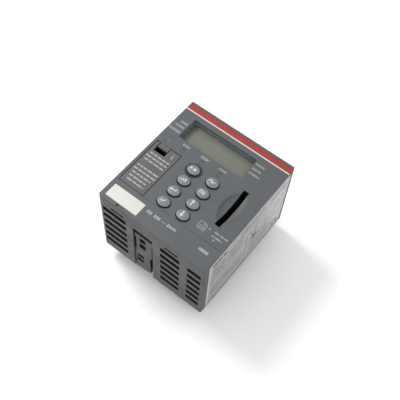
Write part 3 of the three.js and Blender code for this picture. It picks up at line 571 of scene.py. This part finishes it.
class KeyCap:
    """A domed oval cap in the place of a CAD key."""

    def __init__(self, node):
        low, high = corners(node)
        self.middle = (low + high) / 2
        self.foot = low.z
        self.crown = high.z
        self.half_width = (high.x - low.x) / 2 - LIP_REACH
        self.half_height = (high.y - low.y) / 2 - LIP_REACH
        self.shoulder = FRONT + DOME_START

    def surface(self, x, y):
        """The height of the dome over a place given from the key's middle."""
        reach = min(1.0, math.hypot(x / self.half_width, y / self.half_height))
        rise = (1 - reach ** SQUARENESS) ** (1 / SQUARENESS)
        return self.shoulder + (self.crown - self.shoulder) * rise

    def profile(self):
        """Offset from the cap's outline and height, from the foot up to the top of the lip."""
        lip_top = FRONT - LIP_DEPTH
        return [
            (-STEM_INSET, self.foot),
            (-STEM_INSET, lip_top - LIP_THICKNESS),
            (LIP_REACH, lip_top - LIP_THICKNESS),
            (LIP_REACH, lip_top),
            (0, lip_top),
        ]

    def build(self, name, body):
        shape = bmesh.new()
        rings = []

        def add_ring(width, height, z):
            ring = []
            for index in range(CAP_SEGMENTS):
                turn = 2 * math.pi * index / CAP_SEGMENTS
                place = (self.middle.x + width * math.cos(turn), self.middle.y + height * math.sin(turn), z)
                ring.append(shape.verts.new(place))
            rings.append(ring)

        for offset, z in self.profile():
            add_ring(self.half_width + offset, self.half_height + offset, z)
        for step in range(DOME_RINGS):
            angle = math.pi / 2 * step / DOME_RINGS
            reach = math.cos(angle) ** (2 / SQUARENESS)
            rise = math.sin(angle) ** (2 / SQUARENESS)
            z = self.shoulder + (self.crown - self.shoulder) * rise
            add_ring(self.half_width * reach, self.half_height * reach, z)
        crown = shape.verts.new((self.middle.x, self.middle.y, self.crown))
        foot = shape.verts.new((self.middle.x, self.middle.y, self.foot))
        for lower, upper in zip(rings, rings[1:]):
            for index in range(CAP_SEGMENTS):
                after = (index + 1) % CAP_SEGMENTS
                shape.faces.new((lower[index], lower[after], upper[after], upper[index]))
        for index in range(CAP_SEGMENTS):
            after = (index + 1) % CAP_SEGMENTS
            shape.faces.new((rings[0][index], foot, rings[0][after]))
            shape.faces.new((rings[-1][index], rings[-1][after], crown))
        piece = add_piece(name, shape, key_plastic, body)
        piece.data.shade_smooth()
        piece.data.set_sharp_from_angle(angle=CAP_SHARP_ANGLE)
        return piece


# ---------------------------------------------------------------- printed marks

INK_LIFT = 0.025 * MM
INK_SINK = 0.04 * MM
STROKE_STEP = 0.4 * MM
END_STEPS = 5
MITRE_LIMIT = 0.4
WEDGE_SHARES = (0.02, 0.35, 0.7, 1)  # where a wedge is cut across, as shares of its length

# The sizes below are in millimetres.
THINNEST = 0.02
BLOCK_WIDTHS = (0.6, 1.1)
BLOCK_GAP = 0.3
BAR_WIDTHS = (1.4, 3.6)
BAR_GAP = 0.4
SHORTEST_BAR = 0.6
LABEL_HEIGHT = 1.4


class Ink:
    """Printed marks on one surface: thin closed strips, gathered into one piece.

    Places are given in millimetres along across and up from the origin. surface gives the
    extra height of a curved surface over such a place, in metres.
    """

    def __init__(self, origin, across=(1, 0, 0), up=(0, 1, 0), surface=None):
        self.origin = Vector(origin)
        self.across = Vector(across)
        self.up = Vector(up)
        self.out = self.across.cross(self.up)
        self.surface = surface
        self.shape = bmesh.new()

    def corner(self, place, lift):
        u, v = place
        rise = self.surface(u * MM, v * MM) if self.surface else 0
        return self.shape.verts.new(
            self.origin + self.across * u * MM + self.up * v * MM + self.out * (rise + lift)
        )

    def strip(self, sections, closed=False):
        """A closed strip through cross-sections, each given by its left and right place."""
        rings = []
        for left, right in sections:
            rings.append((
                self.corner(left, INK_LIFT), self.corner(right, INK_LIFT),
                self.corner(right, -INK_SINK), self.corner(left, -INK_SINK),
            ))
        following = rings[1:] + rings[:1] if closed else rings[1:]
        for one, two in zip(rings, following):
            for side in range(4):
                after = (side + 1) % 4
                self.shape.faces.new((one[side], one[after], two[after], two[side]))
        if not closed:
            self.shape.faces.new(rings[0])
            self.shape.faces.new(rings[-1][::-1])

    def stroke(self, points, width=0.45, closed=False):
        """A line of even width through the points, with mitred corners."""
        points = [Vector(point) for point in points]
        sections = []
        count = len(points)
        for index, point in enumerate(points):
            before = points[index - 1] if closed or index > 0 else None
            after = points[(index + 1) % count] if closed or index < count - 1 else None
            directions = []
            if before is not None:
                directions.append((point - before).normalized())
            if after is not None:
                directions.append((after - point).normalized())
            along = sum(directions, Vector((0, 0))).normalized()
            side = Vector((-along.y, along.x)) * (width / 2) / max(MITRE_LIMIT, along.dot(directions[0]))
            sections.append((point + side, point - side))
            if after is not None:
                length = (after - point).length * MM
                steps = max(1, round(length / STROKE_STEP))
                straight = (after - point).normalized()
                flank = Vector((-straight.y, straight.x)) * width / 2
                for step in range(1, steps):
                    place = point.lerp(after, step / steps)
                    sections.append((place + flank, place - flank))
        self.strip(sections, closed)

    def bar(self, start, end, v, height):
        """A level bar with round ends."""
        radius = height / 2
        sections = []
        for step in range(END_STEPS + 1):
            angle = math.pi / 2 * step / END_STEPS
            half = max(THINNEST, radius * math.sin(angle))
            sections.append((start + radius * (1 - math.cos(angle)), half))
        sections += [(start + end - u, half) for u, half in reversed(sections)]
        self.strip([((u, v + half), (u, v - half)) for u, half in sections])

    def disc(self, u, v, radius):
        self.bar(u - radius, u + radius, v, 2 * radius)

    def block(self, start, end, v, height):
        self.strip([((u, v + height / 2), (u, v - height / 2)) for u in (start, (start + end) / 2, end)])

    def wedge(self, tip, base, width):
        """A filled triangle from its tip to the middle of its base."""
        tip, base = Vector(tip), Vector(base)
        along = (base - tip).normalized()
        side = Vector((-along.y, along.x))
        sections = []
        for share in WEDGE_SHARES:
            place = tip.lerp(base, share)
            sections.append((place + side * width / 2 * share, place - side * width / 2 * share))
        self.strip(sections)

    def word(self, start, end, v, height):
        """A stand-in for a printed word: plain blocks, with no letter shapes."""
        u = start
        while u < end - BLOCK_GAP:
            width = min(random.uniform(*BLOCK_WIDTHS), end - u)
            self.block(u, u + width, v, height * random.choice((0.8, 1.0)))
            u += width + BLOCK_GAP

    def text_line(self, start, end, v, height):
        """A stand-in for a line of small print: round-ended bars as long as words."""
        u = start
        while u < end - SHORTEST_BAR:
            width = min(random.uniform(*BAR_WIDTHS), end - u)
            self.bar(u, u + width, v, height)
            u += width + BAR_GAP

    def finish(self, name, material, body, slot="white_print"):
        return add_piece(name, self.shape, material, body)


# The pictograms on the keys, drawn about each key's middle.


def run_mark(ink):
    ink.wedge((0, 0.05), (-1.7, 0.05), 1.9)
    ink.block(0.5, 1.9, 0.05, 1.4)


def pulse_mark(ink):
    ink.stroke([(-2, 0), (-1, 0), (-0.5, 0.9), (0.3, -0.8), (0.8, 0), (2, 0)])


def levels_mark(ink):
    for index, height in enumerate((0.9, 1.4, 1.9)):
        u = -1.3 + index * 1.2
        ink.block(u, u + 0.7, height / 2 - 0.9, height)


def sliders_mark(ink):
    for v, knob in ((0.55, -0.8), (-0.55, 0.8)):
        ink.stroke([(-1.9, v), (1.9, v)], 0.35)
        ink.disc(knob, v, 0.5)


def back_mark(ink):
    ink.wedge((-2, -0.1), (-0.8, -0.1), 1.5)
    ink.stroke([(-0.9, -0.1), (1.7, -0.1), (1.7, 0.9)])


def tick_mark(ink):
    ink.stroke([(-1.4, 0.1), (-0.5, -0.7), (1.4, 0.9)], 0.55)


def arrow_mark(ink, direction):
    ink.wedge((0, 1.9 * direction), (0, 0.4 * direction), 2)
    ink.stroke([(0, 0.5 * direction), (0, -1.8 * direction)], 0.65)


KEY_MARKS = {
    "run": run_mark,
    "diagnosis": pulse_mark,
    "value": levels_mark,
    "configure": sliders_mark,
    "escape": back_mark,
    "up": lambda ink: arrow_mark(ink, 1),
    "confirm": tick_mark,
    "down": lambda ink: arrow_mark(ink, -1),
}
MARK_SHIFT = Vector((-0.0005, 0.0002, 0))  # the marks stand a little up and left on the caps

for name, mark in KEY_MARKS.items():
    cap = KeyCap(f"key_{name}")
    piece = cap.build(f"cap_{name}", f"{name}_key")
    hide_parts(f"key_{name}")
    centre = Vector((cap.middle.x, cap.middle.y, 0)) + MARK_SHIFT
    ink = Ink(centre, surface=lambda x, y, cap=cap: cap.surface(x + MARK_SHIFT.x, y + MARK_SHIFT.y))
    mark(ink)
    ink.finish(f"print_key_{name}", bright_ink, f"{name}_key")


def face_ink(x, y):
    """Ink on the front face, with its origin at this place."""
    return Ink((x, y, FRONT))


def print_face_labels():
    """The stand-ins for the words round the display and above the lamps."""
    ink = face_ink(panel_high.x, panel_high.y)
    for v, length in ((-2.4, 5.4), (-5.8, 5.6), (-9, 6.6)):
        ink.word(0.4, 0.4 + length, v, LABEL_HEIGHT)
    ink.finish("print_right_labels", faint_ink, "case")
    ink = face_ink(panel_low.x, panel_high.y)
    for v, length in ((-5.9, 4.6), (-8.9, 5.8), (-12.4, 7.4)):
        ink.word(-0.4 - length, -0.4, v, LABEL_HEIGHT)
    ink.finish("print_left_labels", faint_ink, "case")
    for lamp in ("power", "run", "error"):
        low, high = corners(f"light_guide_{lamp}")
        ink = face_ink((low.x + high.x) / 2, high.y)
        ink.word(-2.4, 2.5, 2, LABEL_HEIGHT)
        ink.finish(f"print_lamp_{lamp}", faint_ink, "case")


def print_bottom_row():
    ink = face_ink((LEFT + RIGHT) / 2, BOTTOM)
    row = 7.8
    for start, end in ((-8.5, -5.1), (-4.1, 0), (4.2, 9.4), (23.8, 29.1)):
        ink.word(start, end, row, 1.7)
    ink.stroke([(0.7, row - 0.1), (3.4, row - 0.1)], 0.3)
    ink.finish("print_bottom_row", pale_ink, "case")


def print_door():
    """Eight centred lines of small print and a small arrow."""
    middle = (door_low.x + door_high.x) / 2
    ink = face_ink(middle, door_high.y)
    lines = (
        (7.9, 12.8), (10.2, 14.2), (12.6, 12.5),
        (17.5, 13.4), (20, 14), (22.5, 12), (24.9, 11.8), (27.4, 10.6),
    )
    for below, length in lines:
        ink.text_line(-length / 2, length / 2, -below, 0.85)
    ink.stroke([(4.8, -1.6), (4.8, -3.9)], 0.4)
    ink.wedge((4.8, -5), (4.8, -3.8), 1.3)
    ink.finish("print_door", pale_ink, "door")


def print_card_sign():
    """A card with an arrow towards the slot, and the stand-ins for the words beside it."""
    ink = face_ink((slot_low.x + slot_high.x) / 2, slot_low.y)
    card_left, card_right, card_top, card_bottom = -7.6, -3.4, -1.2, -5.2
    cut = 0.9
    ink.stroke(
        [
            (card_left, card_bottom), (card_right, card_bottom), (card_right, card_top - cut),
            (card_right - cut, card_top), (card_left, card_top),
        ], 0.4, closed=True,
    )
    for column in range(3):
        u = card_left + 0.9 + column * 1.1
        ink.block(u, u + 0.6, card_bottom + 1.3, 1.3)
    ink.stroke([(-5.8, -2.2), (-4.6, -2.2)], 0.4)
    ink.wedge((-3.9, -2.2), (-4.9, -2.2), 1)
    ink.text_line(1.3, 9.3, -2.2, 0.8)
    ink.text_line(1.3, 7.7, -4.6, 0.8)
    ink.finish("print_card_sign", faint_ink, "case")
    dots = face_ink((slot_low.x + slot_high.x) / 2, slot_low.y)
    dots.disc(-1.6, -2.3, 0.45)
    dots.disc(3.6, -6.3, 0.45)
    dots.finish("print_card_dots", pale_ink, "case")


def plate_print():
    """Ink on the type plate: u runs along +Y and v towards the front, from its lower rear corner."""
    return Ink((plate_high.x, plate_low.y, plate_low.z), across=(0, 1, 0), up=(0, 0, 1))


PLATE_LENGTH = (plate_high.y - plate_low.y) / MM
PLATE_HEIGHT = (plate_high.z - plate_low.z) / MM


def print_plate():
    border = plate_print()
    border.block(0.2, 1.5, PLATE_HEIGHT / 2, PLATE_HEIGHT - 0.6)
    border.block(1.8, PLATE_LENGTH - 0.4, PLATE_HEIGHT - 0.7, 0.9)
    border.finish("print_plate_border", plate_edge_ink, "case")

    bold = plate_print()
    for start, end in ((3.4, 6.6), (7.6, 10.6), (11.4, 14.2)):
        bold.word(start, end, PLATE_HEIGHT - 4.6, 2.6)
    bold.block(38.6, 42.4, 23, 3)
    bold.stroke([(37, 32), (37, 28.5), (39.4, 26), (39.4, 24.4)], 0.4)
    bold.stroke([(41.6, 32), (41.6, 24.4)], 0.4)
    bold.block(60.8, 62.4, 5.6, 3)
    bold.disc(65, 6.2, 1.7)
    bold.finish("print_plate_bold", plate_ink, "case", "black_plastic")

    fine = plate_print()
    for row in range(3):
        fine.text_line(26, 49, PLATE_HEIGHT - 3.4 - row * 2.2, 0.7)
        fine.text_line(52, 66, PLATE_HEIGHT - 3.4 - row * 2.2, 0.7)
    for row in range(6):
        fine.text_line(3.4, 12.5 + 2 * (row % 3), PLATE_HEIGHT - 10 - row * 2.5, 0.7)
        fine.text_line(17, 28.5, PLATE_HEIGHT - 9 - row * 2.5, 0.7)
    for row in range(4):
        fine.text_line(3.4, 31, 17 - row * 2.6, 0.8)
        fine.text_line(39, 58 - 3 * (row % 2), 13.5 - row * 2.4, 0.7)
    fine.stroke([(33.6, 2), (33.6, 31)], 0.35)
    fine.stroke([(34.5, 22), (52, 22), (52, 17), (34.5, 17)], 0.35, closed=True)
    for column in range(6):
        u = 36.5 + column * 2.6
        fine.stroke([(u, 17), (u, 22)], 0.3)
    fine.stroke([(2.4, 1.4), (PLATE_LENGTH - 2, 1.4)], 0.5)
    fine.finish("print_plate_fine", plate_faint_ink, "case", "black_plastic")


print_face_labels()
print_bottom_row()
print_door()
print_card_sign()
print_plate()
